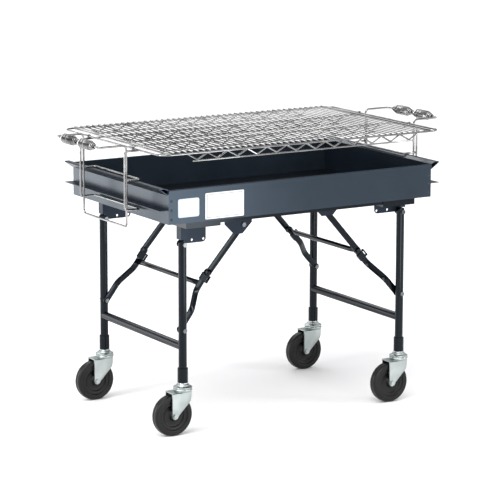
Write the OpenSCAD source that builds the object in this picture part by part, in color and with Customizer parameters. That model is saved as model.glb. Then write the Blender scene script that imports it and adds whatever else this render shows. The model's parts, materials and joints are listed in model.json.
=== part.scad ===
// Charcoal grill on folding wheeled legs, with a lift-off wire cooking grid.
// X runs to the right, Y to the rear and Z up. The origin is on the floor under the middle.

/* [Firebox] */
// Outside length of the firebox
box_l = 944; // [900:1:960]
// Outside depth of the firebox, front to rear
box_d = 608; // [600:1:616]
// Height of the firebox rim above the floor
rim_z = 762; // [760:1:764]
// Height of the firebox walls
box_h = 104; // [100:1:108]
// Thickness of the firebox sheet
sheet = 2; // [1.5:0.5:3]
// Height of the rolled lip on the front and back walls
lip_h = 12; // [8:1:16]
// Reach of the end flanges past the end walls
flange_reach = 31; // [26:1:34]
// Drop from the rim to the top of the lower end flange
flange_gap = 60; // [50:1:66]

/* [Legs] */
// Distance of the leg tubes from the middle, sideways
leg_x = 395; // [385:1:400]
// Distance of the leg tubes from the middle, front to rear
leg_y = 250; // [244:1:254]
// Radius of the leg and cross tubes
tube_r = 12.7; // [11:0.1:13]
// Wall of the leg and cross tubes
tube_wall = 1.6; // [1.2:0.1:2]
// Height of the left leg pivot
left_pivot_z = 584; // [580:1:588]
// Height of the right leg pivot, one tube higher so that the frames stack
right_pivot_z = 610; // [606:1:612]
// Height of the lower cross tube
cross_z = 270; // [255:1:285]
// Radius of the caster sleeve
sleeve_r = 16; // [15:0.5:17]
// Height of the caster sleeve's foot
sleeve_z = 160.5; // [160.5:0.5:163]
// Length of the caster sleeve
sleeve_h = 44; // [38:1:50]

/* [Braces] */
// Distance from the leg pivot down to the brace bolt
brace_drop = 263; // [255:1:268]
// Width of the flat brace bars
bar_w = 20; // [18:1:21]
// Thickness of the flat brace bars
bar_t = 4.5; // [4:0.5:4.5]
// Gap between the upper and lower bars at the knuckle
bar_gap = 3; // [3:0.5:4]
// Middle of the lower bar's thickness at the knuckle, from the centre line
knuckle_y = 195.5; // [190:0.5:198]
// Radius of the cross tube that joins the knuckles
link_r = 8; // [7:0.5:9]

/* [Casters] */
// Wheel radius
wheel_r = 63.5; // [60:0.5:63.5]
// Width of the wheel tread
wheel_w = 30; // [26:1:32]
// Trail of the axle behind the swivel axis
trail = 37.4; // [34:0.1:40]
// Thickness of the fork plates
fork_t = 3; // [2.5:0.5:3.5]

/* [Grid] */
// Half length of the grid, to the middle of the end rod
grid_x = 500; // [496:1:503]
// Half depth of the grid, to the middle of the side rod
grid_y = 313; // [310:1:316]
// Height of the grid's rim rod
grid_z = 867; // [860:1:872]
// Radius of the rim rod and of the end frame wires
rod_r = 3.2; // [3:0.1:3.5]
// Radius of the cross wires
wire_r = 2.1; // [1.8:0.1:2.4]
// Number of cross wires
wire_count = 45; // [31:2:51]
// Depth of the trusses under the grid
truss_h = 20; // [16:1:24]
// Length of one zigzag of a truss
truss_pitch = 68.9; // [60:0.1:70]

/* [End frames] */
// Distance of the grip's middle from the centre
grip_x = 613; // [608:1:620]
// Height of the handle
grip_z = 877; // [876:1:882]
// Half width of the handle wire, front to rear
handle_y = 137; // [130:1:140]
// Height of the handle wire's bottom run
loop_z = 630; // [625:1:645]
// Height of the lower stirrup, under the lower flange
low_stirrup_z = 682; // [678:1:686]
// Largest radius of the spring grips
grip_r = 15.5; // [12:0.5:16]

/* [Hidden] */

box_color = "#303b48";
steel_color = "#1d2126";
chrome_color = "#c9cbcc";
zinc_color = "#b8c2c0";
wheel_color = "#17181a";

$fn = 32;
LEFT = -1;
RIGHT = 1;
FRONT = -1;
REAR = 1;
slip = 0.05;        // radial clearance of a turning pin
gap = 0.5;          // gap between flat faces that move past each other
bolt_r = 4;
floor_z = rim_z - box_h;

// Flat-to-flat planes that the leg hardware sits in, from the centre line outwards
bar_end_y = leg_y - tube_r - gap - bar_t / 2;
upper_bar_y = knuckle_y + bar_t + bar_gap;
eye_r = bar_w / 2 + 1;     // rounded ends of the bars
gusset_y = upper_bar_y + bar_t / 2 + gap;
gusset_t = 3;
bracket_t = 3;
bracket_y = leg_y - tube_r - gap - bracket_t;

channel_in = 293;
channel_out = 412;
channel_h = 18;
channel_t = 2.5;

fork_top_z = 2 * wheel_r + 5;
fork_gap = wheel_w / 2 + 4;
axle_r = 5;
stem_r = 5.5;

hook_y = 142;
hook_x = 530;
stirrup_x = 479;
stirrup_z = rim_z + 6.6 + rod_r;
low_stirrup_x = 480;
hook_arm_z = grid_z - 2 * rod_r - gap;

// ---------------------------------------------------------------- geometry of the braces

function pivot_z(side) = side == LEFT ? left_pivot_z : right_pivot_z;
// Brace pivot on the gusset, knuckle, and brace bolt on the leg, as [distance from the middle, height]
function gusset_pivot(side) = side == LEFT ? [156, left_pivot_z + 30] : [133, right_pivot_z + 30];
function knuckle(side) = side == LEFT ? [277.5, left_pivot_z - 107] : [266, right_pivot_z - 119.5];
function leg_bolt(side) = [leg_x, pivot_z(side) - brace_drop];
function unit(v) = v / norm(v);
// Distances down the lower bar from the knuckle to the cross tube and the lock ring
function link_drop(side) = side == LEFT ? 41 : 6;
function ring_drop(side) = side == LEFT ? 18 : 29;

// ---------------------------------------------------------------- helpers

module front_and_rear() {
    children();
    mirror([0, 1, 0]) children();
}

// Draws its children, made for the right side, on either side
module on_side(side) {
    mirror([side == LEFT ? 1 : 0, 0, 0]) children();
}

// A cylinder along Y between two depths
module y_rod(x, z, y0, y1, r) {
    translate([x, y0, z]) rotate([-90, 0, 0]) cylinder(h = y1 - y0, r = r);
}

// A profile in X and Z, extruded between two depths
module y_plate(y0, y1) {
    translate([0, y1, 0]) rotate([90, 0, 0]) linear_extrude(y1 - y0) children();
}

// Its children, made along +X from the origin, laid from one point towards another in X and Z
module along(from, to) {
    d = to - from;
    translate([from[0], 0, from[1]]) rotate([0, -atan2(d[1], d[0]), 0]) children();
}

// Hexagon-headed bolt along -Y, from its nut's inner face to its head
module bolt(x, z, nut_y, nut_h, head_y, head_h) {
    y_rod(x, z, -head_y, -nut_y, bolt_r);
    translate([x, -head_y - head_h, z]) rotate([-90, 0, 0]) cylinder(h = head_h, r = 7.5, $fn = 6);
    translate([x, -nut_y - nut_h, z]) rotate([-90, 0, 0]) cylinder(h = nut_h, r = 7.5, $fn = 6);
}

// Round wire along a list of points, with bends of radius bend
module bent_wire(points, r, bend, closed = false) {
    n = len(points);
    function at(i) = points[(i + n) % n];
    function turn(i) = acos(unit(at(i) - at(i - 1)) * unit(at(i + 1) - at(i)));
    function cut(i) = !closed && (i == 0 || i == n - 1) ? 0 : bend * tan(turn(i) / 2);
    for (i = [0 : closed ? n - 1 : n - 2]) {
        d = unit(at(i + 1) - at(i));
        straight_rod(at(i) + d * cut(i), at(i + 1) - d * cut((i + 1) % n), r);
    }
    for (i = [closed ? 0 : 1 : closed ? n - 1 : n - 2])
        wire_bend(at(i), unit(at(i) - at(i - 1)), unit(at(i + 1) - at(i)), r, bend);
}

module straight_rod(a, b, r) {
    d = b - a;
    translate(a) rotate([0, acos(d[2] / norm(d)), atan2(d[1], d[0])]) cylinder(h = norm(d), r = r);
}

// The bend at corner p, between the unit directions a (arriving) and b (leaving)
module wire_bend(p, a, b, r, bend) {
    angle = acos(a * b);
    axis = unit(cross(a, b));
    out = unit(cross(a, axis));
    start = p - a * bend * tan(angle / 2);
    centre = start - out * bend;
    multmatrix([
        [out[0], a[0], axis[0], centre[0]],
        [out[1], a[1], axis[1], centre[1]],
        [out[2], a[2], axis[2], centre[2]],
        [0, 0, 0, 1]
    ])
        rotate_extrude(angle = angle) translate([bend, 0]) circle(r = r);
}

// ---------------------------------------------------------------- firebox

module firebox_front() {
    color(box_color) long_wall();
}

module firebox_back() {
    color(box_color) mirror([0, 1, 0]) long_wall();
}

// Front wall with a rolled lip along its top
module long_wall() {
    lip_r = 2.5;
    translate([-box_l / 2, -box_d / 2, 0]) rotate([90, 0, 90]) linear_extrude(box_l) {
        translate([0, floor_z]) square([sheet, box_h - lip_r]);
        translate([sheet - 2 * lip_r, rim_z - lip_h]) square([2 * lip_r, lip_h - lip_r]);
        translate([sheet - lip_r, rim_z - lip_r]) circle(r = lip_r);
    }
}

module end_wall(side) {
    color(box_color) on_side(side) translate([box_l / 2 - sheet, -box_d / 2 + sheet, floor_z])
        cube([sheet, box_d - 2 * sheet, box_h]);
}

module firebox_floor() {
    color(box_color) translate([-box_l / 2 + sheet, -box_d / 2 + sheet, floor_z])
        cube([box_l - 2 * sheet, box_d - 2 * sheet, sheet]);
}

// Upper flange, folded into a hollow hem that leans upwards, and the plain lower flange
module end_flanges(side) {
    x0 = box_l / 2;
    x1 = x0 + flange_reach;
    low_z = rim_z - flange_gap;
    color(box_color) on_side(side) y_plate(-box_d / 2, box_d / 2) {
        difference() {
            polygon([
                [x0, rim_z], [x0 + 14, rim_z + 6], [x1 - 2, rim_z + 6], [x1, rim_z + 3.5],
                [x0 + 3, rim_z - 16], [x0, rim_z - 16]
            ]);
            polygon([
                [x0 + 2, rim_z - 1.3], [x0 + 14.4, rim_z + 4], [x1 - 2.8, rim_z + 4], [x0 + 2, rim_z - 14.2]
            ]);
        }
        polygon([[x0, low_z], [x1, low_z], [x1, low_z - sheet], [x0, low_z - sheet]]);
    }
}

// Shallow inverted tray under the firebox that carries one pair of legs
module cross_channel(side) {
    depth = box_d - 4;
    color(steel_color) on_side(side) difference() {
        translate([channel_in, -depth / 2, floor_z - channel_h])
            cube([channel_out - channel_in, depth, channel_h]);
        translate([channel_in + channel_t, -depth / 2 + channel_t, floor_z - channel_h - 1])
            cube([channel_out - channel_in - 2 * channel_t, depth - 2 * channel_t, channel_h + 1 - channel_t]);
    }
}

// Angle rails under the front and back edges, between the two cross channels
module base_rails() {
    rail_h = 10;
    rail_w = 20;
    color(steel_color) front_and_rear() translate([-channel_in, -box_d / 2 + 4, 0]) {
        translate([0, 0, floor_z - rail_h]) cube([2 * channel_in, 2, rail_h]);
        translate([0, 0, floor_z - 2]) cube([2 * channel_in, rail_w, 2]);
    }
}

// Hanging plate with two open holes, and the post that stands over the leg
module leg_brackets(side) {
    top_z = floor_z - channel_t;
    low_z = pivot_z(side) - 2;
    inner_x = 306;
    corner_r = 12;
    post_x0 = leg_x - 9;
    post_x1 = leg_x + 11;
    post_z = pivot_z(side) + tube_r + 2;
    color(steel_color) on_side(side) front_and_rear() {
        difference() {
            union() {
                y_plate(-bracket_y - bracket_t, -bracket_y) {
                    translate([inner_x, low_z + corner_r]) square([leg_x - inner_x, top_z - low_z - corner_r]);
                    translate([inner_x + corner_r, low_z]) square([leg_x - inner_x - corner_r, corner_r + 1]);
                    translate([inner_x + corner_r, low_z + corner_r]) circle(r = corner_r);
                    translate([leg_x, pivot_z(side)]) circle(r = 11);
                    translate([leg_x - 1, post_z]) square([post_x1 - leg_x + 1, top_z - post_z]);
                }
                translate([post_x0, -leg_y - 11, post_z])
                    cube([post_x1 - post_x0, leg_y + 11 - bracket_y - bracket_t + 1, top_z - post_z]);
            }
            y_rod(leg_x, pivot_z(side), -bracket_y - 2 * bracket_t, -bracket_y + 1, bolt_r + slip);
            for (x = [inner_x + 8, inner_x + 48])
                y_rod(x, pivot_z(side) + 7, -bracket_y - 2 * bracket_t, -bracket_y + 1, 4);
            translate([post_x0 + 3, -leg_y - 8, post_z - 1])
                cube([post_x1 - post_x0 - 6, 16, top_z - post_z + 2]);
        }
    }
}

// Tapered plates under the firebox that hold the upper brace bars
module brace_gussets(side) {
    middle = side == LEFT ? 174.5 : 148;
    half_top = 48;
    half_low = side == LEFT ? 15 : 20;
    foot_z = pivot_z(side) + 3;
    shoulder_z = foot_z + half_top - half_low;
    g = gusset_pivot(side);
    color(steel_color) on_side(side) front_and_rear() difference() {
        union() {
            y_plate(-gusset_y - gusset_t, -gusset_y) {
                polygon([
                    [middle - half_top, floor_z], [middle + half_top, floor_z], [middle + half_top, shoulder_z],
                    [middle + half_low, foot_z], [middle - half_low, foot_z], [middle - half_top, shoulder_z]
                ]);
            }
            translate([middle - half_top, -gusset_y - 20, floor_z - gusset_t])
                cube([2 * half_top, 20, gusset_t]);
        }
        y_rod(g[0], g[1], -gusset_y - gusset_t - 1, -gusset_y + 1, bolt_r + slip);
    }
}

// Four leg pivot bolts and four gusset bolts
module frame_bolts() {
    nut_h = 6;
    color(zinc_color) for (side = [LEFT, RIGHT]) on_side(side) front_and_rear() {
        bolt(leg_x, pivot_z(side), bracket_y - nut_h, nut_h, leg_y + tube_r + gap, 5);
        bolt(gusset_pivot(side)[0], gusset_pivot(side)[1], upper_bar_y - bar_t / 2 - gap - nut_h, nut_h,
            gusset_y + gusset_t, 4);
    }
}

// ---------------------------------------------------------------- legs

// Leg tube with a rounded top at its pivot
module leg_tube(side, end) {
    foot_z = sleeve_z + 15.5;
    top_z = pivot_z(side);
    color(steel_color) on_side(side) mirror([0, end == REAR ? 1 : 0, 0]) difference() {
        intersection() {
            translate([leg_x, -leg_y, foot_z]) cylinder(h = top_z + 2 * tube_r - foot_z, r = tube_r);
            y_plate(-leg_y - 2 * tube_r, -leg_y + 2 * tube_r) {
                translate([leg_x - 2 * tube_r, foot_z - 1]) square([4 * tube_r, top_z + 1 - foot_z]);
                translate([leg_x, top_z]) circle(r = tube_r + 0.3);
            }
        }
        translate([leg_x, -leg_y, foot_z - 1]) cylinder(h = top_z - foot_z - 12, r = tube_r - tube_wall);
        y_rod(leg_x, top_z, -leg_y - tube_r - 1, -leg_y + tube_r + 1, bolt_r + slip);
        y_rod(leg_x, leg_bolt(side)[1], -leg_y - tube_r - 1, -leg_y + tube_r + 1, bolt_r + slip);
    }
}

// Lower cross tube, coped to the two leg tubes
module leg_cross_tube(side) {
    color(steel_color) on_side(side) difference() {
        y_rod(leg_x, cross_z, -leg_y + 4, leg_y - 4, tube_r);
        y_rod(leg_x, cross_z, -leg_y, leg_y, tube_r - tube_wall);
        for (y = [-leg_y, leg_y]) translate([leg_x, y, cross_z - 2 * tube_r])
            cylinder(h = 4 * tube_r, r = tube_r);
    }
}

// Sleeves that join the caster stems to the leg tubes
module sleeves(side) {
    socket_z = sleeve_z + 15.5;
    color(steel_color) on_side(side) front_and_rear() difference() {
        translate([leg_x, -leg_y, sleeve_z]) cylinder(h = sleeve_h, r = sleeve_r);
        translate([leg_x, -leg_y, socket_z]) cylinder(h = sleeve_h, r = tube_r);
        translate([leg_x, -leg_y, sleeve_z - 1]) cylinder(h = sleeve_h, r = stem_r + slip);
    }
}

module brace_bolts(side) {
    nut_h = 6;
    b = leg_bolt(side);
    color(zinc_color) on_side(side) front_and_rear()
        bolt(b[0], b[1], bar_end_y - bar_t / 2 - gap - nut_h, nut_h, leg_y + tube_r, 5);
}

// ---------------------------------------------------------------- braces

module upper_braces(side) {
    g = gusset_pivot(side);
    k = knuckle(side);
    y0 = -upper_bar_y - bar_t / 2;
    y1 = -upper_bar_y + bar_t / 2;
    color(steel_color) on_side(side) front_and_rear() difference() {
        union() {
            along(g, k) translate([0, y0, -bar_w / 2]) cube([norm(k - g), bar_t, bar_w]);
            for (p = [g, k]) y_rod(p[0], p[1], y0, y1, eye_r);
        }
        y_rod(g[0], g[1], y0 - 1, y1 + 1, bolt_r + slip);
    }
}

// Round-headed rivets on the outside of the knuckles
module knuckle_rivets(side) {
    k = knuckle(side);
    head_h = 3;
    color(steel_color) on_side(side) front_and_rear()
        y_rod(k[0], k[1], -upper_bar_y - bar_t / 2 - head_h, -upper_bar_y - bar_t / 2, 6);
}

// Lower bars, which step sideways from the knuckle out to the leg
module lower_braces(side) {
    b = leg_bolt(side);
    k = knuckle(side);
    length = norm(k - b);
    step_out = 68;
    step_in = length - 65;
    path = [[0, -bar_end_y], [step_out, -bar_end_y], [step_in, -knuckle_y], [length, -knuckle_y]];
    boss_h = bar_gap - gap;
    color(steel_color) on_side(side) front_and_rear() difference() {
        union() {
            along(b, k) translate([0, 0, -bar_w / 2]) linear_extrude(bar_w) polygon(concat(
                [for (p = path) p - [0, bar_t / 2]],
                [for (i = [3 : -1 : 0]) path[i] + [0, bar_t / 2]]
            ));
            y_rod(b[0], b[1], -bar_end_y - bar_t / 2, -bar_end_y + bar_t / 2, eye_r);
            y_rod(k[0], k[1], -knuckle_y - bar_t / 2, -knuckle_y + bar_t / 2, eye_r);
            y_rod(k[0], k[1], -knuckle_y - bar_t / 2 - boss_h, -knuckle_y, 5.5);
        }
        y_rod(b[0], b[1], -bar_end_y - bar_t, -bar_end_y + bar_t, bolt_r + slip);
    }
}

// Cross tube between the knuckles, with flattened ends
module brace_link(side) {
    b = leg_bolt(side);
    k = knuckle(side);
    end_y = knuckle_y - bar_t / 2;
    flare = 34;
    color(steel_color) on_side(side) along(k, b) translate([link_drop(side), 0, 0]) {
        y_rod(0, 0, -end_y + flare, end_y - flare, link_r);
        front_and_rear() hull() {
            y_rod(0, 0, -end_y + flare - 1, -end_y + flare, link_r);
            translate([-9, -end_y, -2.5]) cube([18, 8, 5]);
        }
    }
}

// Rectangular lock rings, with a window beside the bar: below the left bars, above the right ones
module lock_rings(side) {
    b = leg_bolt(side);
    k = knuckle(side);
    wall = 1.8;
    play = 0.3;
    length = 24;
    y0 = -knuckle_y - bar_t / 2 - play;
    depth = bar_t + 2 * play;
    low = -bar_w / 2 - play;
    high = bar_w / 2 + 7;
    flip = side == LEFT ? 1 : 0;
    color(steel_color) on_side(side) front_and_rear()
        along(k, b) translate([ring_drop(side) - length / 2, 0, 0]) mirror([0, 0, flip]) difference() {
            translate([0, y0 - wall, low - wall]) cube([length, depth + 2 * wall, high - low + 2 * wall]);
            translate([-1, y0, low]) cube([length + 2, depth, high - low]);
            translate([3, y0 - wall - 1, bar_w / 2 + 1]) cube([length - 6, depth + 2 * wall + 2, 5.5]);
        }
}

// ---------------------------------------------------------------- casters

// Puts a caster, made about the swivel axis, under a leg
module at_leg(side, end) {
    translate([side * leg_x, end * leg_y, 0]) children();
}

// Stem, ball race housing and two-plate fork, trailing to the left
module fork(side, end) {
    race_r = 29;
    plate_top = fork_top_z + fork_t;
    color(zinc_color) at_leg(side, end) difference() {
        union() {
            rotate_extrude() polygon([
                [0, plate_top - 1], [race_r - 3, plate_top - 1], [race_r, plate_top + 2], [race_r, plate_top + 8],
                [race_r - 3, plate_top + 11], [race_r - 6, plate_top + 15], [17, plate_top + 18],
                [15, sleeve_z - 0.5], [stem_r, sleeve_z - 0.5], [stem_r, sleeve_z + 14], [0, sleeve_z + 14]
            ]);
            translate([0, 0, fork_top_z]) linear_extrude(fork_t) {
                circle(r = race_r - 1);
                translate([-48, -fork_gap - fork_t]) square([48, 2 * (fork_gap + fork_t)]);
            }
            for (y = [-fork_gap - fork_t, fork_gap]) y_plate(y, y + fork_t) {
                polygon([[-48, plate_top], [12, plate_top], [21, plate_top - 8], [20, 106], [-27, 58], [-47, 60]]);
                translate([-trail, wheel_r]) circle(r = 11);
            }
        }
        y_rod(-trail, wheel_r, -fork_gap - fork_t - 1, fork_gap + fork_t + 1, axle_r + slip);
    }
}

module axle(side, end) {
    reach = fork_gap + fork_t;
    color(zinc_color) at_leg(side, end) {
        y_rod(-trail, wheel_r, -reach, reach + 4, axle_r);
        translate([-trail, -reach - 5, wheel_r]) rotate([-90, 0, 0]) cylinder(h = 5, r = 8, $fn = 6);
        translate([-trail, reach, wheel_r]) rotate([-90, 0, 0]) cylinder(h = 5, r = 8, $fn = 6);
    }
}

// Moulded wheel with ring grooves on both faces
module wheel(side, end) {
    half = wheel_w / 2;
    hub_half = fork_gap - gap;
    face = [
        [axle_r + slip, hub_half], [15, hub_half], [18, half - 5], [34, half - 7], [37, half - 3],
        [45, half - 3], [48, half], [wheel_r - 5, half], [wheel_r - 1.5, half - 2.5], [wheel_r, half - 6]
    ];
    color(wheel_color) at_leg(side, end) translate([-trail, 0, wheel_r]) rotate([90, 0, 0]) rotate_extrude()
        polygon(concat(face, [for (i = [len(face) - 1 : -1 : 0]) [face[i][0], -face[i][1]]]));
}

// ---------------------------------------------------------------- grid

module grid_rim() {
    corner = 35;
    color(chrome_color) bent_wire([
        [-grid_x, -grid_y, grid_z], [grid_x, -grid_y, grid_z], [grid_x, grid_y, grid_z], [-grid_x, grid_y, grid_z]
    ], rod_r, corner, closed = true);
}

// The second rod inside each end of the rim
module grid_end_rods() {
    inset = 35;
    color(chrome_color) for (x = [-grid_x + inset, grid_x - inset]) y_rod(x, grid_z, -grid_y, grid_y, rod_r);
}

module grid_cross_wires() {
    span = 2 * grid_x - 80;
    z = grid_z + rod_r + wire_r - 0.3;
    color(chrome_color) for (i = [0 : wire_count - 1])
        y_rod(-span / 2 + i * span / (wire_count - 1), z, -grid_y, grid_y, wire_r);
}

// Zigzag under the grid, as a flat strip, and its bottom rod
module truss(y) {
    half_w = 2.2;
    low = grid_z - truss_h;
    step = truss_pitch / 2;
    bends = [for (i = [-12 : 12]) [i * step, i % 2 == 0 ? grid_z - 1 : low]];
    y_plate(y - half_w, y + half_w)
        polygon(concat([for (p = bends) p + [0, 2.7]], [for (i = [24 : -1 : 0]) bends[i] - [0, 2.7]]));
    translate([-11.5 * step, y, low - rod_r]) rotate([0, 90, 0]) cylinder(h = 23 * step, r = 2.5);
}

module grid_outer_trusses() {
    color(chrome_color) for (y = [-grid_y, grid_y]) truss(y);
}

module grid_inner_trusses() {
    color(chrome_color) for (y = [-grid_y / 3, grid_y / 3]) {
        truss(y);
        translate([-grid_x, y, grid_z + 0.4]) rotate([0, 90, 0]) cylinder(h = 2 * grid_x, r = 2.5);
    }
}

// ---------------------------------------------------------------- end frames

// Closed wire: grip, two arms, two uprights and the bottom run
module handle_wire(side) {
    upright_x = hook_x - 8;
    color(chrome_color) on_side(side) bent_wire([
        [grip_x, -handle_y, grip_z], [grip_x, handle_y, grip_z], [upright_x, handle_y, grip_z],
        [upright_x, handle_y, loop_z], [upright_x, -handle_y, loop_z], [upright_x, -handle_y, grip_z]
    ], rod_r, 12, closed = true);
}

// Wire that hangs from the grid's end rod and hooks under the lower flange
module hook_wire(side) {
    eye_r = 6;
    color(chrome_color) on_side(side) difference() {
        union() {
            bent_wire([
                [stirrup_x, -hook_y, hook_arm_z], [hook_x, -hook_y, hook_arm_z], [hook_x, -hook_y, low_stirrup_z],
                [low_stirrup_x, -hook_y, low_stirrup_z], [low_stirrup_x, hook_y, low_stirrup_z],
                [hook_x, hook_y, low_stirrup_z], [hook_x, hook_y, hook_arm_z], [stirrup_x, hook_y, hook_arm_z]
            ], rod_r, 9);
            for (y = [-hook_y, hook_y]) y_rod(grid_x, grid_z, y - 4, y + 4, eye_r);
        }
        for (y = [-hook_y, hook_y]) y_rod(grid_x, grid_z, y - 6, y + 6, rod_r + slip);
    }
}

// Upper stirrup, a flat U that lies on the upper flange
module stirrup(side) {
    color(chrome_color) on_side(side) bent_wire([
        [hook_x - rod_r, -hook_y, stirrup_z], [stirrup_x, -hook_y, stirrup_z], [stirrup_x, hook_y, stirrup_z],
        [hook_x - rod_r, hook_y, stirrup_z]
    ], rod_r, 9);
}

// Outer shape of the two barrel springs on one handle
module grip_springs(side) {
    length = 108;
    middle_gap = 3;
    neck_r = 7.5;
    color(chrome_color) on_side(side) for (y = [middle_gap / 2, -middle_gap / 2 - length])
        translate([grip_x, y, grip_z]) rotate([-90, 0, 0]) rotate_extrude() polygon([
            [rod_r + 0.4, 0], [neck_r, 0], [grip_r - 4, length * 0.12], [grip_r, length * 0.26],
            [grip_r, length * 0.74], [grip_r - 4, length * 0.88], [neck_r, length], [rod_r + 0.4, length]
        ]);
}

// ---------------------------------------------------------------- nodes

firebox_front();
firebox_back();
end_wall(LEFT);  // firebox_left_end
end_wall(RIGHT);  // firebox_right_end
firebox_floor();
end_flanges(LEFT);  // left_end_flanges
end_flanges(RIGHT);  // right_end_flanges
cross_channel(LEFT);  // left_cross_channel
cross_channel(RIGHT);  // right_cross_channel
base_rails();
leg_brackets(LEFT);  // left_leg_brackets
leg_brackets(RIGHT);  // right_leg_brackets
brace_gussets(LEFT);  // left_brace_gussets
brace_gussets(RIGHT);  // right_brace_gussets
frame_bolts();
leg_tube(LEFT, FRONT);  // left_front_tube
leg_tube(LEFT, REAR);  // left_rear_tube
leg_cross_tube(LEFT);  // left_cross_tube
sleeves(LEFT);  // left_sleeves
brace_bolts(LEFT);  // left_brace_bolts
leg_tube(RIGHT, FRONT);  // right_front_tube
leg_tube(RIGHT, REAR);  // right_rear_tube
leg_cross_tube(RIGHT);  // right_cross_tube
sleeves(RIGHT);  // right_sleeves
brace_bolts(RIGHT);  // right_brace_bolts
upper_braces(LEFT);  // left_upper_braces
knuckle_rivets(LEFT);  // left_knuckle_rivets
lower_braces(LEFT);  // left_lower_braces
brace_link(LEFT);  // left_brace_link
lock_rings(LEFT);  // left_lock_rings
upper_braces(RIGHT);  // right_upper_braces
knuckle_rivets(RIGHT);  // right_knuckle_rivets
lower_braces(RIGHT);  // right_lower_braces
brace_link(RIGHT);  // right_brace_link
lock_rings(RIGHT);  // right_lock_rings
fork(LEFT, FRONT);  // front_left_fork
axle(LEFT, FRONT);  // front_left_axle
wheel(LEFT, FRONT);  // front_left_wheel
fork(LEFT, REAR);  // rear_left_fork
axle(LEFT, REAR);  // rear_left_axle
wheel(LEFT, REAR);  // rear_left_wheel
fork(RIGHT, FRONT);  // front_right_fork
axle(RIGHT, FRONT);  // front_right_axle
wheel(RIGHT, FRONT);  // front_right_wheel
fork(RIGHT, REAR);  // rear_right_fork
axle(RIGHT, REAR);  // rear_right_axle
wheel(RIGHT, REAR);  // rear_right_wheel
grid_rim();
grid_end_rods();
grid_cross_wires();
grid_outer_trusses();
grid_inner_trusses();
handle_wire(LEFT);  // left_handle_wire
hook_wire(LEFT);  // left_hook_wire
stirrup(LEFT);  // left_stirrup
grip_springs(LEFT);  // left_grip_springs
handle_wire(RIGHT);  // right_handle_wire
hook_wire(RIGHT);  // right_hook_wire
stirrup(RIGHT);  // right_stirrup
grip_springs(RIGHT);  // right_grip_springs
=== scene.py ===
# Charcoal grill with folding wheeled legs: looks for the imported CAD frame.
import json
import math

import bmesh
import bpy
from mathutils import Matrix, Vector


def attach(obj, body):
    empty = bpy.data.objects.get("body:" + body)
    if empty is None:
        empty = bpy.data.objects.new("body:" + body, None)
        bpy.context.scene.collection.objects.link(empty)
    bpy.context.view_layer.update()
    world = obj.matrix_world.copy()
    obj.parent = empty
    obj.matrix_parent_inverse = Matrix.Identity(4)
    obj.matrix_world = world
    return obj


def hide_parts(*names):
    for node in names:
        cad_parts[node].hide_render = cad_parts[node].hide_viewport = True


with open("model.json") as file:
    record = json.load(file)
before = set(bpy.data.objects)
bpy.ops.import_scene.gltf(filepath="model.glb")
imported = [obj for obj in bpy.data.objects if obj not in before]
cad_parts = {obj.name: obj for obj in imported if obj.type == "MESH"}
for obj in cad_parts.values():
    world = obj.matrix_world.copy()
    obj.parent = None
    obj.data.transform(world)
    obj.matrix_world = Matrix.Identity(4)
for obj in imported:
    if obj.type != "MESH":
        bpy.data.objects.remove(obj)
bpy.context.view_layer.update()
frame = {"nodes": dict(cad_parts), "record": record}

nodes = frame["nodes"]
scene = bpy.context.scene
scene.view_settings.view_transform = "Standard"
SIDES = {"left": -1, "right": 1}
ENDS = {"front": -1, "rear": 1}
MM = 0.001  # pieces are built in millimetres, and the camera, lights and floor are in metres

# ---------------------------------------------------------------- camera, light and floor


CAMERA_AT = (-4.0086, -6.5487, 2.0155)
CAMERA_DOWN_DEG, CAMERA_TURN_DEG = 10.545, -30.752
LENS_MM, SENSOR_MM = 178.57, 36
LENS_SHIFT = (0.0581, -0.0642)
CLIP_END = 90
FLOOR_HALF = 30

# The sky's tone against height: 0.5 is the horizon and 1 is straight up
SKY_BANDS = (
    (0.50, 0.62), (0.56, 0.16), (0.69, 0.16), (0.76, 1.10), (0.88, 0.85), (0.95, 0.35), (0.985, 2.6),
)
SKY_BLUE = 1.02

SUN_ROTATION_DEG = (38, 0, -62)
SUN_STRENGTH = 2.2
SUN_ANGLE_DEG = 50

# Name, place, aimed at, size and watts of each area light
AREA_LIGHTS = (
    ("left_strip", (-3.2, -0.4, 1.3), (0, 0, 0.6), (0.5, 1.9), 40),
    ("right_strip", (3.0, -2.2, 1.3), (0, 0, 0.6), (0.5, 1.9), 35),
    ("back", (1.0, 4.2, 3.6), (0, 0, 0.7), (4.0, 2.0), 50),
    # reflected in the left end wall
    ("left_panel", (-1.6, 1.9, 0.55), (-0.47, 0, 0.7), (1.2, 0.9), 9),
    # reflected in the left part of the front wall
    ("front_panel", (0.15, -1.7, 0.42), (-0.3, -0.3, 0.7), (0.7, 0.7), 9),
)


def add_camera():
    data = bpy.data.cameras.new("camera")
    data.lens = LENS_MM
    data.sensor_width = SENSOR_MM
    data.shift_x, data.shift_y = LENS_SHIFT
    data.clip_end = CLIP_END
    camera = bpy.data.objects.new("camera", data)
    camera.location = CAMERA_AT
    camera.rotation_euler = (math.radians(90 - CAMERA_DOWN_DEG), 0, math.radians(CAMERA_TURN_DEG))
    scene.collection.objects.link(camera)
    scene.camera = camera


def add_area(name, location, target, size, power):
    data = bpy.data.lights.new(name, "AREA")
    data.shape = "RECTANGLE"
    data.size, data.size_y = size
    data.energy = power
    lamp = bpy.data.objects.new(name, data)
    lamp.location = location
    lamp.rotation_euler = (Vector(target) - Vector(location)).to_track_quat("-Z", "Y").to_euler()
    scene.collection.objects.link(lamp)


def add_sun():
    data = bpy.data.lights.new("sun", "SUN")
    data.energy = SUN_STRENGTH
    data.angle = math.radians(SUN_ANGLE_DEG)
    lamp = bpy.data.objects.new("sun", data)
    lamp.rotation_euler = [math.radians(a) for a in SUN_ROTATION_DEG]
    scene.collection.objects.link(lamp)


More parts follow.
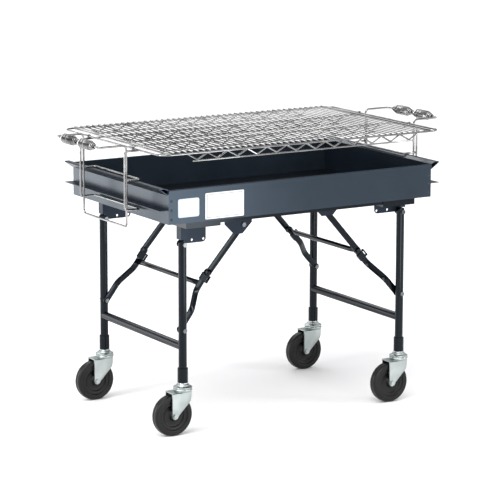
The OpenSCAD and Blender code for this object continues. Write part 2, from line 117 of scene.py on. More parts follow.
def add_world():
    """A sky of soft bands, which the paint and the bright plate reflect."""
    world = bpy.data.worlds.new("studio")
    world.use_nodes = True
    scene.world = world
    tree = world.node_tree
    tree.nodes.clear()
    out = tree.nodes.new("ShaderNodeOutputWorld")
    back = tree.nodes.new("ShaderNodeBackground")
    ramp = tree.nodes.new("ShaderNodeValToRGB")
    split = tree.nodes.new("ShaderNodeSeparateXYZ")
    coord = tree.nodes.new("ShaderNodeTexCoord")
    scale = tree.nodes.new("ShaderNodeMapRange")
    scale.inputs["From Min"].default_value = -1
    scale.inputs["From Max"].default_value = 1
    stops = ramp.color_ramp.elements
    stops = [stops[0], stops[1]] + [stops.new(0.9) for _ in SKY_BANDS[2:]]
    for stop, (position, grey) in zip(stops, SKY_BANDS):
        stop.position = position
        stop.color = (grey, grey, grey * SKY_BLUE, 1)
    tree.links.new(coord.outputs["Generated"], split.inputs[0])
    tree.links.new(split.outputs["Z"], scale.inputs["Value"])
    tree.links.new(scale.outputs["Result"], ramp.inputs["Fac"])
    tree.links.new(ramp.outputs["Color"], back.inputs["Color"])
    back.inputs["Strength"].default_value = 1.0
    tree.links.new(back.outputs["Background"], out.inputs["Surface"])


def add_floor():
    mesh = bpy.data.meshes.new("floor")
    half = FLOOR_HALF
    corners = [(-half, -half, 0), (half, -half, 0), (half, half, 0), (-half, half, 0)]
    mesh.from_pydata(corners, [], [(0, 1, 2, 3)])
    floor = bpy.data.objects.new("floor", mesh)
    scene.collection.objects.link(floor)
    material = bpy.data.materials.new("floor")
    material.use_nodes = True
    shader = material.node_tree.nodes["Principled BSDF"]
    shader.inputs["Base Color"].default_value = (0.86, 0.86, 0.86, 1)
    shader.inputs["Roughness"].default_value = 0.9
    floor.data.materials.append(material)


# ---------------------------------------------------------------- materials


class Surface:
    """A principled material with helpers for procedural detail in object space."""

    def __init__(self, name, metallic, roughness):
        self.material = bpy.data.materials.new(name)
        self.material.use_nodes = True
        self.tree = self.material.node_tree
        self.shader = self.tree.nodes["Principled BSDF"]
        self.shader.inputs["Metallic"].default_value = metallic
        self.shader.inputs["Roughness"].default_value = roughness
        self.coord = self.tree.nodes.new("ShaderNodeTexCoord")

    def noise(self, scale, detail, stretch=(1, 1, 1), roughness=0.5):
        mapping = self.tree.nodes.new("ShaderNodeMapping")
        mapping.inputs["Scale"].default_value = stretch
        self.tree.links.new(self.coord.outputs["Object"], mapping.inputs["Vector"])
        noise = self.tree.nodes.new("ShaderNodeTexNoise")
        noise.inputs["Scale"].default_value = scale
        noise.inputs["Detail"].default_value = detail
        noise.inputs["Roughness"].default_value = roughness
        self.tree.links.new(mapping.outputs["Vector"], noise.inputs["Vector"])
        return noise.outputs["Fac"]

    def remap(self, value, low, high, out_low, out_high):
        node = self.tree.nodes.new("ShaderNodeMapRange")
        node.inputs["From Min"].default_value = low
        node.inputs["From Max"].default_value = high
        node.inputs["To Min"].default_value = out_low
        node.inputs["To Max"].default_value = out_high
        self.tree.links.new(value, node.inputs["Value"])
        return node.outputs["Result"]

    def mix(self, factor, a, b):
        node = self.tree.nodes.new("ShaderNodeMix")
        node.data_type = "RGBA"
        self.tree.links.new(factor, node.inputs["Factor"])
        # the colour sockets of a Mix node are A at 6 and B at 7, and its colour result is output 2
        for socket, value in ((node.inputs[6], a), (node.inputs[7], b)):
            if isinstance(value, tuple):
                socket.default_value = (*value, 1)
            else:
                self.tree.links.new(value, socket)
        return node.outputs[2]

    def bump(self, height, strength, distance):
        node = self.tree.nodes.new("ShaderNodeBump")
        node.inputs["Strength"].default_value = strength
        node.inputs["Distance"].default_value = distance
        self.tree.links.new(height, node.inputs["Height"])
        self.tree.links.new(node.outputs["Normal"], self.shader.inputs["Normal"])

    def set(self, socket, value):
        self.tree.links.new(value, self.shader.inputs[socket])


def painted(name, dark, light, roughness, specular, tint, scuff):
    """Paint: faint mottling, orange peel and small pale scuffs."""
    s = Surface(name, 0.0, roughness)
    s.shader.inputs["Specular IOR Level"].default_value = specular
    s.shader.inputs["Specular Tint"].default_value = (*tint, 1)
    cloud = s.remap(s.noise(7, 4), 0.3, 0.7, 0, 1)
    base = s.mix(cloud, dark, light)
    marks = s.remap(s.noise(38, 6, (1, 1, 2.4), 0.62), 0.66, 0.76, 0, scuff)
    s.set("Base Color", s.mix(marks, base, tuple(min(1, c * 3 + 0.03) for c in light)))
    s.set("Roughness", s.remap(s.noise(9, 3), 0.25, 0.75, roughness - 0.02, roughness + 0.03))
    s.bump(s.noise(650, 2), 0.08, 0.0003)
    return s.material


def plated(name, colour, shade, roughness, spread):
    """Bright plate: slight tone and gloss changes along the wire."""
    s = Surface(name, 1.0, roughness)
    cloud = s.remap(s.noise(16, 4), 0.3, 0.7, 0, 1)
    s.set("Base Color", s.mix(cloud, shade, colour))
    s.set("Roughness", s.remap(s.noise(55, 5), 0.3, 0.75, roughness, roughness + spread))
    s.bump(s.noise(420, 3), 0.05, 0.0002)
    return s.material


def moulded_rubber(name):
    """Black rubber with a little dust."""
    s = Surface(name, 0.0, 0.38)
    s.shader.inputs["Specular IOR Level"].default_value = 0.3
    dust = s.remap(s.noise(24, 5), 0.5, 0.85, 0, 0.25)
    s.set("Base Color", s.mix(dust, (0.002, 0.002, 0.0025), (0.012, 0.012, 0.013)))
    s.set("Roughness", s.remap(s.noise(60, 4), 0.3, 0.7, 0.30, 0.46))
    s.bump(s.noise(900, 3), 0.10, 0.0003)
    return s.material


# Tints of the paint's gloss; the second is for the floor paint that is darkened as painted shade
SLATE_GLOSS, FLOOR_SHADE_GLOSS, BLACK_GLOSS = (0.62, 0.80, 1.0), (0.7, 0.85, 1.0), (0.76, 0.88, 1.0)

# One material for each of the record's slots
MATERIALS = {
    "box_paint": painted(
        "box_paint", (0.005, 0.008, 0.013), (0.009, 0.014, 0.021), 0.31, 0.48, SLATE_GLOSS, 0.02
    ),
    "frame_paint": painted(
        "frame_paint", (0.0010, 0.0016, 0.0026), (0.0024, 0.0034, 0.005), 0.14, 0.22, BLACK_GLOSS, 0.03
    ),
    "chrome_wire": plated("chrome_wire", (0.38, 0.38, 0.38), (0.19, 0.19, 0.19), 0.08, 0.10),
    "bolt_steel": plated("bolt_steel", (0.20, 0.21, 0.22), (0.08, 0.09, 0.10), 0.30, 0.12),
    "zinc": plated("zinc", (0.50, 0.54, 0.53), (0.32, 0.36, 0.35), 0.29, 0.12),
    "wheel_rubber": moulded_rubber("wheel_rubber"),
}


# Paint on single nodes: mixed darker on the floor as painted shade inside the firebox, and lighter on the
# rear wall as painted light
NODE_PAINT = {
    # painted shade: the floor's paint is darker than the box paint
    "firebox_floor": painted(
        "box_paint_painted_shade", (0.0015, 0.002, 0.003), (0.004, 0.006, 0.008), 0.42, 0.20, FLOOR_SHADE_GLOSS, 0.02
    ),
    # painted light: the rear wall's paint is lighter than the box paint
    "firebox_back": painted(
        "box_paint_painted_light", (0.016, 0.024, 0.034), (0.024, 0.035, 0.048), 0.32, 0.45, SLATE_GLOSS, 0.02
    ),
}
# Satin paint on the plates that hold the legs and braces, mixed lighter than the frame paint as painted light
PLATES = ("left_leg_brackets", "right_leg_brackets", "left_brace_gussets", "right_brace_gussets")
NODE_PAINT.update(dict.fromkeys(PLATES, painted(
    "frame_paint_plate_painted_light", (0.012, 0.016, 0.025), (0.018, 0.024, 0.036), 0.33, 0.16, SLATE_GLOSS, 0.02
)))


def finish_nodes():
    for part in frame["record"]["subparts"]:
        name = part["node"]
        nodes[name].data.materials.clear()
        nodes[name].data.materials.append(NODE_PAINT.get(name) or MATERIALS[part["material_slot"]])


# ---------------------------------------------------------------- mesh making


STRAIGHT = 1e-3  # a corner with a smaller angle, in radians, is left as it is


def turned(count, u, v):
    """Unit vectors evenly round a circle in the plane of u and v."""
    angles = (2 * math.pi * k / count for k in range(count))
    return [u * math.cos(a) + v * math.sin(a) for a in angles]


def arc_corner(before, corner, after, bend, steps):
    """Points round a corner of a wire path, from one tangent point to the other."""
    a = (corner - before).normalized()
    b = (after - corner).normalized()
    angle = a.angle(b)
    if angle < STRAIGHT:
        return [corner]
    cut = bend * math.tan(angle / 2)
    axis = a.cross(b).normalized()
    start = corner - a * cut
    centre = start + axis.cross(a) * bend
    turns = [Matrix.Rotation(angle * i / steps, 3, axis) for i in range(steps + 1)]
    return [centre + turn @ (start - centre) for turn in turns]


def wire_path(points, bend, closed, steps):
    """A polyline in millimetres with its corners rounded."""
    pts = [Vector(p) for p in points]
    n = len(pts)
    path = []
    for i, p in enumerate(pts):
        if not closed and i in (0, n - 1):
            path.append(p)
        else:
            path += arc_corner(pts[i - 1], p, pts[(i + 1) % n], bend, steps)
    return path


class Build:
    """Collects the faces of one piece, in millimetres in the row frame."""

    def __init__(self):
        self.verts = []
        self.faces = []

    def ring_strip(self, rings, closed=False):
        """Joins equal rings of points with quads, and caps the ends of an open strip."""
        base = len(self.verts)
        sides = len(rings[0])
        for ring in rings:
            self.verts += [tuple(v) for v in ring]
        count = len(rings)
        for i in range(count if closed else count - 1):
            this, following = base + i * sides, base + (i + 1) % count * sides
            for k in range(sides):
                m = (k + 1) % sides
                self.faces.append((this + k, this + m, following + m, following + k))
        if not closed:
            self.faces.append(tuple(base + k for k in reversed(range(sides))))
            self.faces.append(tuple(base + (count - 1) * sides + k for k in range(sides)))

    def tube(self, path, radius, sides, closed=False, dome=0.0):
        """Round wire along a path, with its ends domed over a length in millimetres."""
        n = len(path)
        tangents = []
        for i in range(n):
            if closed:
                t = path[(i + 1) % n] - path[i - 1]
            else:
                t = path[min(i + 1, n - 1)] - path[max(i - 1, 0)]
            tangents.append(t.normalized())
        side = tangents[0].orthogonal().normalized()
        frames = []
        for i in range(n):
            side = (side - tangents[i] * side.dot(tangents[i])).normalized()
            frames.append((path[i], side.copy(), tangents[i].cross(side), radius))
        if dome and not closed:
            for end, sign in ((0, -1), (-1, 1)):
                centre, u, v, r = frames[end]
                t = tangents[end]
                extra = []
                for angle in (30, 60, 80):
                    a = math.radians(angle)
                    at = centre + t * sign * dome * math.sin(a) - t * sign * dome
                    extra.append((at, u, v, r * math.cos(a)))
                frames[end] = (centre - t * sign * dome, u, v, r)
                if end == 0:
                    frames = extra[::-1] + frames
                else:
                    frames = frames + extra
        rings = [[centre + out * r for out in turned(sides, u, v)] for centre, u, v, r in frames]
        self.ring_strip(rings, closed)

    def lathe(self, profile, origin, axis, sides, closed=False):
        """Turns (radius, height) pairs about an axis through origin."""
        axis = Vector(axis).normalized()
        u = axis.orthogonal().normalized()
        v = axis.cross(u)
        origin = Vector(origin)
        # a point on the axis keeps a hundredth of a millimetre, so that its ring stays a ring
        round_axis = turned(sides, u, v)
        rings = [[origin + axis * h + out * max(r, 0.01) for out in round_axis] for r, h in profile]
        self.ring_strip(rings, closed)

    def prism(self, outline, y0, y1):
        """An outline in X and Z, between two depths."""
        base = len(self.verts)
        n = len(outline)
        self.verts += [(x, y0, z) for x, z in outline] + [(x, y1, z) for x, z in outline]
        self.faces.append(tuple(base + k for k in range(n)))
        self.faces.append(tuple(base + n + k for k in reversed(range(n))))
        for k in range(n):
            m = (k + 1) % n
            self.faces.append((base + k, base + n + k, base + n + m, base + m))

    def mirrored_y(self):
        """Adds a copy of everything so far, mirrored front to rear."""
        base = len(self.verts)
        self.verts += [(x, -y, z) for x, y, z in self.verts]
        self.faces += [tuple(base + k for k in reversed(f)) for f in list(self.faces)]

    def mirrored_x(self):
        """Turns everything over to the left side."""
        self.verts = [(-x, y, z) for x, y, z in self.verts]
        self.faces = [tuple(reversed(f)) for f in self.faces]

    def piece(self, name, slot, body, replaced=(), sharp=35, bevel=0.0, material=None):
        """Makes the object, lets it ride a body, gives it its slot's material unless another is given, and
        hides the CAD nodes it stands for.
        """
        mesh = bpy.data.meshes.new(name)
        mesh.from_pydata([tuple(c * MM for c in v) for v in self.verts], [], self.faces)
        work = bmesh.new()
        work.from_mesh(mesh)
        bmesh.ops.recalc_face_normals(work, faces=work.faces)
        work.to_mesh(mesh)
        work.free()
        mesh.shade_smooth()
        mesh.set_sharp_from_angle(angle=math.radians(sharp))
        obj = bpy.data.objects.new(name, mesh)
        scene.collection.objects.link(obj)
        mesh.materials.append(material or MATERIALS[slot])
        if bevel:
            add_bevel(obj, bevel)
        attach(obj, body)
        if replaced:
            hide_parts(*replaced)
        return obj


def add_bevel(obj, width_mm):
    bevel = obj.modifiers.new("edge", "BEVEL")
    bevel.width = width_mm * MM
    bevel.segments = 2
    bevel.limit_method = "ANGLE"
    bevel.angle_limit = math.radians(40)


# ---------------------------------------------------------------- sizes, in millimetres, as in the CAD

GRID_X, GRID_Y, GRID_Z = 500, 313, 867
ROD_R, WIRE_R = 3.2, 2.1
RIM_BEND, END_ROD_INSET = 35, 35
ROD_SIDES = 16
CROSS_WIRES, CROSS_SPAN = 45, 920
WIRE_SINK, WIRE_OVERHANG = 0.3, 2.6
TRUSS_PITCH, TRUSS_DROP, TRUSS_HALF = 68.9, 20, 396
TRUSS_STEPS, TRUSS_BEND, TOP_RAIL_RISE = 12, 5, 0.4
ZIGZAG_R, RAIL_R = 2.6, 2.5
GRIP_X, GRIP_Z, HANDLE_Y, LOOP_Z = 613, 877, 137, 630
HOOK_X, HOOK_Y, HOOK_ARM_Z = 530, 142, 860.1
UPRIGHT_X = HOOK_X - 8
HANDLE_BEND, HOOK_BEND = 12, 9
GRIP_GAP = 1.5
STIRRUP_X, STIRRUP_Z = 479, 771.8
LOW_STIRRUP_X, LOW_STIRRUP_Z = 480, 682
LEG_X, LEG_Y = 395, 250
SPRING_LENGTH, SPRING_COILS, SPRING_WIRE = 108, 15, 2.0
# brace pivots on the gussets and knuckles, in X and Z, as if each side were the right-hand one
GUSSET = {"left": (156, 614), "right": (133, 640)}
KNUCKLE = {"left": (277.5, 477), "right": (266, 490.5)}
BOLT_Z = {"left": 321, "right": 347}
LINK_DROP = {"left": 41, "right": 6}
KNUCKLE_Y, BAR_END_Y, UPPER_BAR_Y = 195.5, 234.55, 203
BAR_W, BAR_T, EYE_R = 20, 4.5, 11
BOSS_R, BOSS_LENGTH, LINK_R = 5.5, 2.5, 8
# the lower bars step inwards between these distances from the bolt and from the knuckle
STEP_FROM_BOLT, STEP_FROM_KNUCKLE = 68, 65
AXLE_DX, WHEEL_R = -37.4, 63.5
FORK_TOP_Z, FORK_GAP, FORK_T = 132, 19, 3
AXLE_PAD_R, FORK_TRAIL_X = 10.9, -48.2
CRIMP_Z, SLEEVE_R = 198.5, 16
FRONT_Y = -304


# ---------------------------------------------------------------- wire grid


def grid_frame():
    rim = Build()
    signs = (-1, -1), (1, -1), (1, 1), (-1, 1)
    corners = [(sx * GRID_X, sy * GRID_Y, GRID_Z) for sx, sy in signs]
    rim.tube(wire_path(corners, RIM_BEND, True, 14), ROD_R, ROD_SIDES, closed=True)
    rim.piece("rim_rod", "chrome_wire", "cooking_grid", ["grid_rim"])
    rods = Build()
    for x in (-GRID_X + END_ROD_INSET, GRID_X - END_ROD_INSET):
        rod = [Vector((x, y, GRID_Z)) for y in (-GRID_Y, -200, 0, 200, GRID_Y)]
        rods.tube(rod, ROD_R, ROD_SIDES, dome=0.5)
    rods.piece("inner_end_rods", "chrome_wire", "cooking_grid", ["grid_end_rods"])


def grid_wires():
    wires = Build()
    z = GRID_Z + ROD_R + WIRE_R - WIRE_SINK
    end = GRID_Y + WIRE_OVERHANG
    # depth and drop along a wire: its welded ends are pressed down a little into the side rods
    path = [
        (-end, -0.8), (-end + 6, -0.5), (-end + 16, 0), (-150, 0), (0, 0), (150, 0),
        (end - 16, 0), (end - 6, -0.5), (end, -0.8),
    ]
    for i in range(CROSS_WIRES):
        x = -CROSS_SPAN / 2 + i * CROSS_SPAN / (CROSS_WIRES - 1)
        wires.tube([Vector((x, y, z + dz)) for y, dz in path], WIRE_R, 10, dome=1.6)
    wires.piece("cross_wires", "chrome_wire", "cooking_grid", ["grid_cross_wires"])


def truss(build, y):
    """A zigzag wire and the rod under it."""
    step = TRUSS_PITCH / 2
    low = GRID_Z - TRUSS_DROP
    turns = range(-TRUSS_STEPS, TRUSS_STEPS + 1)
    points = [(i * step, y, GRID_Z - 1 if i % 2 == 0 else low) for i in turns]
    build.tube(wire_path(points, TRUSS_BEND, False, 4), ZIGZAG_R, 10, dome=1.5)
    rod = [Vector((x, y, low - ROD_R)) for x in (-TRUSS_HALF, -200, 0, 200, TRUSS_HALF)]
    build.tube(rod, RAIL_R, 12, dome=1.5)


def grid_trusses():
    outer = Build()
    for y in (-GRID_Y, GRID_Y):
        truss(outer, y)
    outer.piece("side_trusses", "chrome_wire", "cooking_grid", ["grid_outer_trusses"])
    inner = Build()
    for y in (-GRID_Y / 3, GRID_Y / 3):
        truss(inner, y)
        top_rail = [Vector((x, y, GRID_Z + TOP_RAIL_RISE)) for x in (-GRID_X, -250, 0, 250, GRID_X)]
        inner.tube(top_rail, RAIL_R, 12)
    inner.piece("middle_trusses", "chrome_wire", "cooking_grid", ["grid_inner_trusses"])


# ---------------------------------------------------------------- end frames


def barrel_radius(t):
    """Outer radius of a grip spring along its length, from 0 to 1."""
    stops = [(0, 7.5), (0.12, 11.5), (0.26, 15.5), (0.74, 15.5), (0.88, 11.5), (1, 7.5)]
    for (t0, r0), (t1, r1) in zip(stops, stops[1:]):
        if t <= t1:
            s = (t - t0) / (t1 - t0)
            return r0 + (r1 - r0) * (s * s * (3 - 2 * s))
    return stops[-1][1]


def spring(build, y0):
    """A barrel-shaped coil along the grip, from y0 on."""
    steps = SPRING_COILS * 20
    path = []
    for i in range(steps + 1):
        t = i / steps
        # the end coils close up
        along = t - 0.018 * math.sin(2 * math.pi * t)
        r = barrel_radius(along) - SPRING_WIRE
        a = 2 * math.pi * SPRING_COILS * t
        y = y0 + SPRING_WIRE + along * (SPRING_LENGTH - 2 * SPRING_WIRE)
        path.append(Vector((GRIP_X + r * math.cos(a), y, GRIP_Z + r * math.sin(a))))
    build.tube(path, SPRING_WIRE, 8, dome=1.0)


# Section of the eyes that turn on the ends of the grid's rim: radius and depth
EYE_RING = ((3.35, -3.6), (4.6, -4), (5.6, -3.6), (6, -2.6), (6, 2.6), (5.6, 3.6), (4.6, 4), (3.35, 3.6))


def end_frames():
    for side, sign in SIDES.items():
        handle = Build()
        handle.tube(wire_path([
            (GRIP_X, -HANDLE_Y, GRIP_Z), (GRIP_X, HANDLE_Y, GRIP_Z), (UPRIGHT_X, HANDLE_Y, GRIP_Z),
            (UPRIGHT_X, HANDLE_Y, LOOP_Z), (UPRIGHT_X, -HANDLE_Y, LOOP_Z), (UPRIGHT_X, -HANDLE_Y, GRIP_Z),
        ], HANDLE_BEND, True, 10), ROD_R, ROD_SIDES, closed=True)
        hook = Build()
        hook.tube(wire_path([
            (STIRRUP_X, -HOOK_Y, HOOK_ARM_Z), (HOOK_X, -HOOK_Y, HOOK_ARM_Z), (HOOK_X, -HOOK_Y, LOW_STIRRUP_Z),
            (LOW_STIRRUP_X, -HOOK_Y, LOW_STIRRUP_Z), (LOW_STIRRUP_X, HOOK_Y, LOW_STIRRUP_Z),
            (HOOK_X, HOOK_Y, LOW_STIRRUP_Z), (HOOK_X, HOOK_Y, HOOK_ARM_Z), (STIRRUP_X, HOOK_Y, HOOK_ARM_Z),
        ], HOOK_BEND, False, 8), ROD_R, ROD_SIDES, dome=2.2)
        for y in (-HOOK_Y, HOOK_Y):
            hook.lathe(EYE_RING, (GRID_X, y, GRID_Z), (0, 1, 0), 24, closed=True)
        bar = Build()
        bar.tube(wire_path([
            (HOOK_X - ROD_R, -HOOK_Y, STIRRUP_Z), (STIRRUP_X, -HOOK_Y, STIRRUP_Z),
            (STIRRUP_X, HOOK_Y, STIRRUP_Z), (HOOK_X - ROD_R, HOOK_Y, STIRRUP_Z),
        ], HOOK_BEND, False, 8), ROD_R, ROD_SIDES, dome=1.5)
        grips = Build()
        spring(grips, GRIP_GAP)
        spring(grips, -GRIP_GAP - SPRING_LENGTH)
        for build, name, node in (
            (handle, "handle", "handle_wire"), (hook, "hook_frame", "hook_wire"),
            (bar, "upper_stirrup", "stirrup"), (grips, "coil_grips", "grip_springs"),
        ):
            if sign < 0:
                build.mirrored_x()
            build.piece(f"{side}_{name}", "chrome_wire", f"{side}_end_frame", [f"{side}_{node}"])


# ---------------------------------------------------------------- braces


def bar_rings(path, u, start):
    """Rounded rectangles along a bar that runs from start in direction u. path is (distance, depth) pairs."""
    rings = []
    n = len(path)
    for i, (s, y) in enumerate(path):
        s0, y0 = path[max(i - 1, 0)]
        s1, y1 = path[min(i + 1, n - 1)]
        t = Vector((s1 - s0, y1 - y0)).normalized()
        centre = start + u * s + Vector((0, y, 0))
        normal = Vector((0, 1, 0)) * t.x - u * t.y
        across = Vector((-u.z, 0, u.x))
        ring = []
        w, h, r = BAR_W / 2, BAR_T / 2, 0.9
        for sx, sy, a0 in ((1, 1, 0), (-1, 1, 90), (-1, -1, 180), (1, -1, 270)):
            for a in (0, 45, 90):
                angle = math.radians(a0 + a)
                wide, deep = sx * (w - r) + r * math.cos(angle), sy * (h - r) + r * math.sin(angle)
                ring.append(centre + across * wide + normal * deep)
        rings.append(ring)
    return rings


def smooth_depth(points):
    """Rounds the corners of a (distance, depth) line."""
    spread, steps = 14, 7
    line = [Vector((s, 0, y)) for s, y in points]
    out = [line[0]]
    for a, b, c in zip(line, line[1:], line[2:]):
        p = b + (a - b).normalized() * spread
        q = b + (c - b).normalized() * spread
        out += [p.lerp(b, t / steps).lerp(b.lerp(q, t / steps), t / steps) for t in range(steps + 1)]
    out.append(line[-1])
    return [(v.x, v.z) for v in out]


def eye(build, x, z, y):
    """Round end of a bar."""
    r, h = EYE_R, BAR_T / 2
    half = [(0, h), (r - 0.9, h), (r - 0.25, h - 0.3), (r, h - 0.9)]
    build.lathe([(out, -deep) for out, deep in half] + half[::-1], (x, y, z), (0, 1, 0), 36)


# Section of a rivet's domed head: radius and depth
RIVET_HEAD = ((0, -3), (2, -2.9), (4, -2.2), (5.4, -1), (6, 0), (6, 0.5), (0, 0.5))


def braces():
    for side, sign in SIDES.items():
        pivots = KNUCKLE[side], GUSSET[side], (LEG_X, BOLT_Z[side])
        k, g, b = (Vector((x, 0, z)) for x, z in pivots)
        upper = Build()
        u = (k - g).normalized()
        length = (k - g).length
        line = [(distance, -UPPER_BAR_Y) for distance in (0, length / 2, length)]
        upper.ring_strip(bar_rings(line, u, g))
        eye(upper, g.x, g.z, -UPPER_BAR_Y)
        eye(upper, k.x, k.z, -UPPER_BAR_Y)
        upper.mirrored_y()
        lower = Build()
        u = (k - b).normalized()
        length = (k - b).length
        step = (STEP_FROM_BOLT, -BAR_END_Y), (length - STEP_FROM_KNUCKLE, -KNUCKLE_Y)
        line = smooth_depth([(0, -BAR_END_Y), *step, (length, -KNUCKLE_Y)])
        lower.ring_strip(bar_rings(line, u, b))
        eye(lower, b.x, b.z, -BAR_END_Y)
        eye(lower, k.x, k.z, -KNUCKLE_Y)
        boss = [(BOSS_R, -BOSS_LENGTH), (BOSS_R, 0)]
        lower.lathe(boss, (k.x, -KNUCKLE_Y - BAR_T / 2, k.z), (0, 1, 0), 24)
        lower.mirrored_y()
        rivets = Build()
        rivets.lathe(RIVET_HEAD, (k.x, -UPPER_BAR_Y - BAR_T / 2, k.z), (0, 1, 0), 28)
        rivets.mirrored_y()
        link = brace_link(side, b, k)
        for build, name, body, node in (
            (upper, "upper_bars", "upper_brace_bars", "upper_braces"),
            (rivets, "rivet_heads", "upper_brace_bars", "knuckle_rivets"),
            (lower, "lower_bars", "lower_brace_frame", "lower_braces"),
            (link, "knuckle_tube", "lower_brace_frame", "brace_link"),
        ):
            if sign < 0:
                build.mirrored_x()
            build.piece(f"{side}_{name}", "frame_paint", f"{side}_{body}", [f"{side}_{node}"])


def brace_link(side, b, k):
    """Round tube whose ends are pressed flat against the bars."""
    u = (b - k).normalized()
    centre = k + u * LINK_DROP[side]
    across = Vector((-u.z, 0, u.x))
    end = KNUCKLE_Y - BAR_T / 2
    link = Build()
    rings = []
    # distance from the end, and how flat the tube is there, from 1 to 0
    for depth, flat in (
        (0, 1), (4, 1), (8, 1), (13, 0.93), (19, 0.72), (25, 0.42), (30, 0.16), (35, 0), (60, 0), (end, 0),
    ):
        # the round tube turns into a wide thin strip with squarer edges
        half_u = LINK_R + flat * 1.0
        half_a = LINK_R - flat * 5.5
        power = 1 - 0.35 * flat
        ring = []
        for i in range(24):
            a = 2 * math.pi * i / 24
            c, s = math.cos(a), math.sin(a)
            along = u * half_u * math.copysign(abs(c) ** power, c)
            high = across * half_a * math.copysign(abs(s) ** power, s)
            ring.append(centre + Vector((0, -end + depth, 0)) + along + high)
        rings.append(ring)
    mirrored = [[Vector((v.x, -v.y, v.z)) for v in ring] for ring in reversed(rings[:-1])]
    link.ring_strip(rings + mirrored)
    return link


# ---------------------------------------------------------------- casters


FORK_LEVELS = (52.6, 53.6, 55.5, 58.5, 63, 70, 80, 92, 104, 116, 126, 131, 134.5)
# Z and X where the fork's leading edge leaves the round pad at the axle, bends and ends
LEAD_PAD, LEAD_SHOULDER, LEAD_TOP = (57, -28), (106, 20), (135, 21.5)
FORK_ROLL = 7.0
TOP_PLATE_X = (FORK_TRAIL_X, -20, 10)


def between(z, low, high):
    """X at height z on the line through low and high, which are (Z, X) points."""
    return low[1] + (z - low[0]) / (high[0] - low[0]) * (high[1] - low[1])


def fork_plate(build, y_side):
    """Pressed fork side: flat, with its leading edge sloping forwards and rolled inwards."""
    rings = []
    for z in FORK_LEVELS:
        dz = z - WHEEL_R
        reach = math.sqrt(max(0.5, AXLE_PAD_R ** 2 - dz * dz))
        trail_x = FORK_TRAIL_X if dz >= 0 else AXLE_DX - reach
        if z < LEAD_PAD[0]:
            lead_x = AXLE_DX + reach
        elif z < LEAD_SHOULDER[0]:
            lead_x = between(z, LEAD_PAD, LEAD_SHOULDER)
        else:
            lead_x = between(z, LEAD_SHOULDER, LEAD_TOP)
        width = lead_x - trail_x
        roll = min(FORK_ROLL, width * 0.35)
        outer = [(trail_x, 0), (trail_x + 1.0, FORK_T)]
        outer += [(trail_x + width * f, FORK_T) for f in (0.3, 0.6)]
        for a in (0, 25, 50, 75):
            r = math.radians(a)
            outer.append((lead_x - roll + roll * math.sin(r), FORK_T - roll * (1 - math.cos(r))))
        inner = []
        for a in (75, 50, 25, 0):
            r = math.radians(a)
            x = lead_x - roll + (roll - FORK_T * 0.8) * math.sin(r)
            inner.append((x, -max(0, roll - FORK_T) * (1 - math.cos(r))))
        inner += [(trail_x + width * f, 0) for f in (0.6, 0.3)]
        rings.append([Vector((x, y_side * (FORK_GAP + y), z)) for x, y in outer + inner])
    build.ring_strip(rings)


# Ball race and its plate, from the fork's top up to the sleeve: radius and height
RACE = (
    (0, 131.9), (21, 131.9), (25, 132.6), (27, 134.5), (28.4, 136.8), (29, 139), (29, 141),
    (28.2, 142.4), (27.2, 143), (28.4, 143.8), (29, 145.2), (28.6, 147.2), (26.4, 149), (23, 150.2),
    (20.6, 150.8), (19.6, 152), (19.6, 154), (18.4, 155.6), (16.2, 156.6), (15.2, 158.2), (15, 160), (0, 160),
)
STEM = ((5.5, 159.5), (5.5, 174), (0, 174))


def caster_fork(side, end):
    fork = Build()
    for y_side in (-1, 1):
        fork_plate(fork, y_side)
    fork.lathe(RACE, (0, 0, 0), (0, 0, 1), 64)
    fork.lathe(STEM, (0, 0, 0), (0, 0, 1), 24)
    half = FORK_GAP + FORK_T
    plate = [(x, -half) for x in TOP_PLATE_X] + [(x, half) for x in reversed(TOP_PLATE_X)]
    fork.ring_strip([[Vector((x, y, z)) for x, y in plate] for z in (FORK_TOP_Z, FORK_TOP_Z + FORK_T)])
    fork.verts = [(x + SIDES[side] * LEG_X, y + ENDS[end] * LEG_Y, z) for x, y, z in fork.verts]
    piece = fork.piece(f"{end}_{side}_yoke", "zinc", f"{end}_{side}_caster", [f"{end}_{side}_fork"])
    add_bevel(piece, 0.6)


# Half of the wheel's section, from the bore round to the middle of the tread: radius and half width
WHEEL_HALF = [
    (5.05, 18.5), (11.5, 18.5), (12.6, 18.1), (13.2, 17.2), (14.2, 12.5), (16.0, 9.4), (18.5, 8.4),
    (24, 8.0), (31.5, 8.0), (33.6, 8.6), (34.6, 10.4), (35.6, 11.9), (37.2, 12.2), (38.4, 11.6),
    (39.4, 11.6), (40.4, 12.2), (44.2, 12.2), (45.6, 11.9), (46.2, 12.8), (47.0, 14.4), (48.6, 15.0),
    (53.0, 15.0), (54.2, 14.6), (55.4, 15.0), (57.6, 15.0), (59.8, 14.4), (61.6, 12.9), (62.8, 10.6),
    (63.4, 7.0), (63.5, 2.0), (63.0, 1.0), (62.8, 0),
]


def caster_wheel(side, end):
    wheel = Build()
    profile = WHEEL_HALF + [(r, -h) for r, h in reversed(WHEEL_HALF[:-1])]
    centre = (SIDES[side] * LEG_X + AXLE_DX, ENDS[end] * LEG_Y, WHEEL_R)
    wheel.lathe(profile, centre, (0, 1, 0), 96, closed=True)
    name = f"{end}_{side}"
    wheel.piece(f"{name}_tyre", "wheel_rubber", f"{name}_roller", [f"{name}_wheel"], sharp=50)


# ---------------------------------------------------------------- labels, welds and crimps


def flat_material(name, colour, roughness):
    s = Surface(name, 0.0, roughness)
    tone = s.remap(s.noise(30, 4), 0.3, 0.7, 0, 1)
    s.set("Base Color", s.mix(tone, colour, tuple(c * 0.9 for c in colour)))
    s.bump(s.noise(300, 2), 0.05, 0.0002)
    return s.material


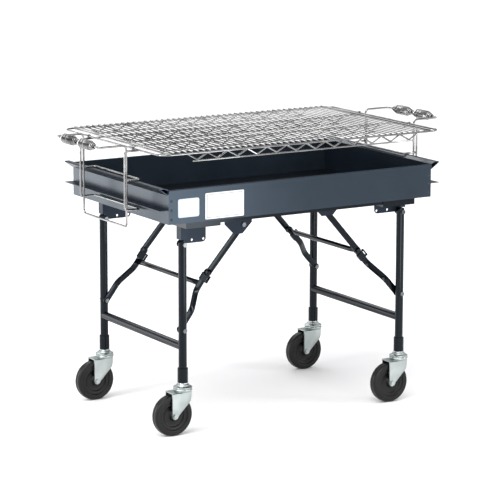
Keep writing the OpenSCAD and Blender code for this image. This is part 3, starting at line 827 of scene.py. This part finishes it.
def rounded_panel(build, x0, x1, z0, z1, r, y_back, y_front):
    """A thin panel with rounded corners."""
    outline = []
    low_x, high_x, low_z, high_z = x0 + r, x1 - r, z0 + r, z1 - r
    for cx, cz, a0 in ((high_x, high_z, 0), (low_x, high_z, 90), (low_x, low_z, 180), (high_x, low_z, 270)):
        for a in range(0, 91, 18):
            t = math.radians(a0 + a)
            outline.append((cx + r * math.cos(t), cz + r * math.sin(t)))
    build.prism(outline, y_front, y_back)


# Left, right, lower and upper edge of the blank plate, its border line and the patch beside it
PLATE_BOX = (-347, -213.5, 663, 742)
BORDER_BOX, BORDER_LINE = (-341, -219.5, 667.6, 737.4), 1.4
PATCH_BOX = (-440, -368, 676, 732)
WELD_X, WELD_LEVELS = 462, (672, 700, 728)


def front_labels():
    """A blank plate with a plain border, and a blank patch beside it."""
    white = flat_material("label_white", (0.78, 0.79, 0.80), 0.35)
    grey = flat_material("label_grey", (0.10, 0.11, 0.13), 0.4)
    pale = flat_material("label_pale", (0.55, 0.60, 0.66), 0.4)
    plate = Build()
    rounded_panel(plate, *PLATE_BOX, 3, FRONT_Y, FRONT_Y - 0.8)
    plate.piece("blank_plate", "box_paint", "firebox", material=white, bevel=0.25)
    border = Build()
    x0, x1, z0, z1 = BORDER_BOX
    line = BORDER_LINE
    for strip in (
        (x0, x1, z1 - line, z1), (x0, x1, z0, z0 + line), (x0, x0 + line, z0, z1), (x1 - line, x1, z0, z1),
    ):
        rounded_panel(border, *strip, 0.4, FRONT_Y - 0.7, FRONT_Y - 0.95)
    border.piece("blank_plate_border", "box_paint", "firebox", material=grey)
    sticker = Build()
    rounded_panel(sticker, *PATCH_BOX, 6, FRONT_Y, FRONT_Y - 0.35)
    sticker.piece("blank_sticker", "box_paint", "firebox", material=pale)


def spot_welds():
    """Shallow round dimples where the end walls are welded to the front and back."""
    dimples = Build()
    section = [(0, -0.9), (1.8, -0.8), (3.2, -0.45), (4.2, 0.05)]
    for x in (-WELD_X, WELD_X):
        for z in WELD_LEVELS:
            dimples.lathe(section, (x, FRONT_Y, z), (0, 1, 0), 20)
    dimples.mirrored_y()
    dimples.piece("weld_dimples", "box_paint", "firebox", sharp=60)


def sleeve_crimps():
    """Small raised crimp marks round the caster sleeves."""
    for side, sign in SIDES.items():
        crimps = Build()
        for y_sign in (-1, 1):
            for angle in (-125, -75, 55, 105):
                a = math.radians(angle)
                out = Vector((math.cos(a), math.sin(a), 0))
                base = Vector((sign * LEG_X, y_sign * LEG_Y, CRIMP_Z)) + out * (SLEEVE_R - 0.2)
                crimps.lathe([(0, 0.9), (1.2, 0.75), (2.1, 0.35), (2.6, -0.1)], base, out, 16)
        crimps.piece(f"{side}_sleeve_crimps", "frame_paint", f"{side}_legs", sharp=60)


# Width in millimetres of the softened edges on CAD nodes
EDGE_WIDTHS = {
    "firebox_front": 0.5, "firebox_back": 0.5, "firebox_left_end": 0.4, "firebox_right_end": 0.4,
    "left_end_flanges": 0.5, "right_end_flanges": 0.5,
    "left_cross_channel": 1.0, "right_cross_channel": 1.0,
    "left_leg_brackets": 0.5, "right_leg_brackets": 0.5,
    "left_brace_gussets": 0.5, "right_brace_gussets": 0.5,
    "frame_bolts": 0.5, "left_brace_bolts": 0.5, "right_brace_bolts": 0.5,
    "left_lock_rings": 0.5, "right_lock_rings": 0.5, "left_sleeves": 0.6, "right_sleeves": 0.6,
}


def bevel_nodes():
    for name, width in EDGE_WIDTHS.items():
        add_bevel(nodes[name], width)


add_camera()
add_world()
add_sun()
for light in AREA_LIGHTS:
    add_area(*light)
add_floor()
finish_nodes()
bevel_nodes()
grid_frame()
grid_wires()
grid_trusses()
end_frames()
braces()
for side in SIDES:
    for end in ENDS:
        caster_fork(side, end)
        caster_wheel(side, end)
front_labels()
spot_welds()
sleeve_crimps()
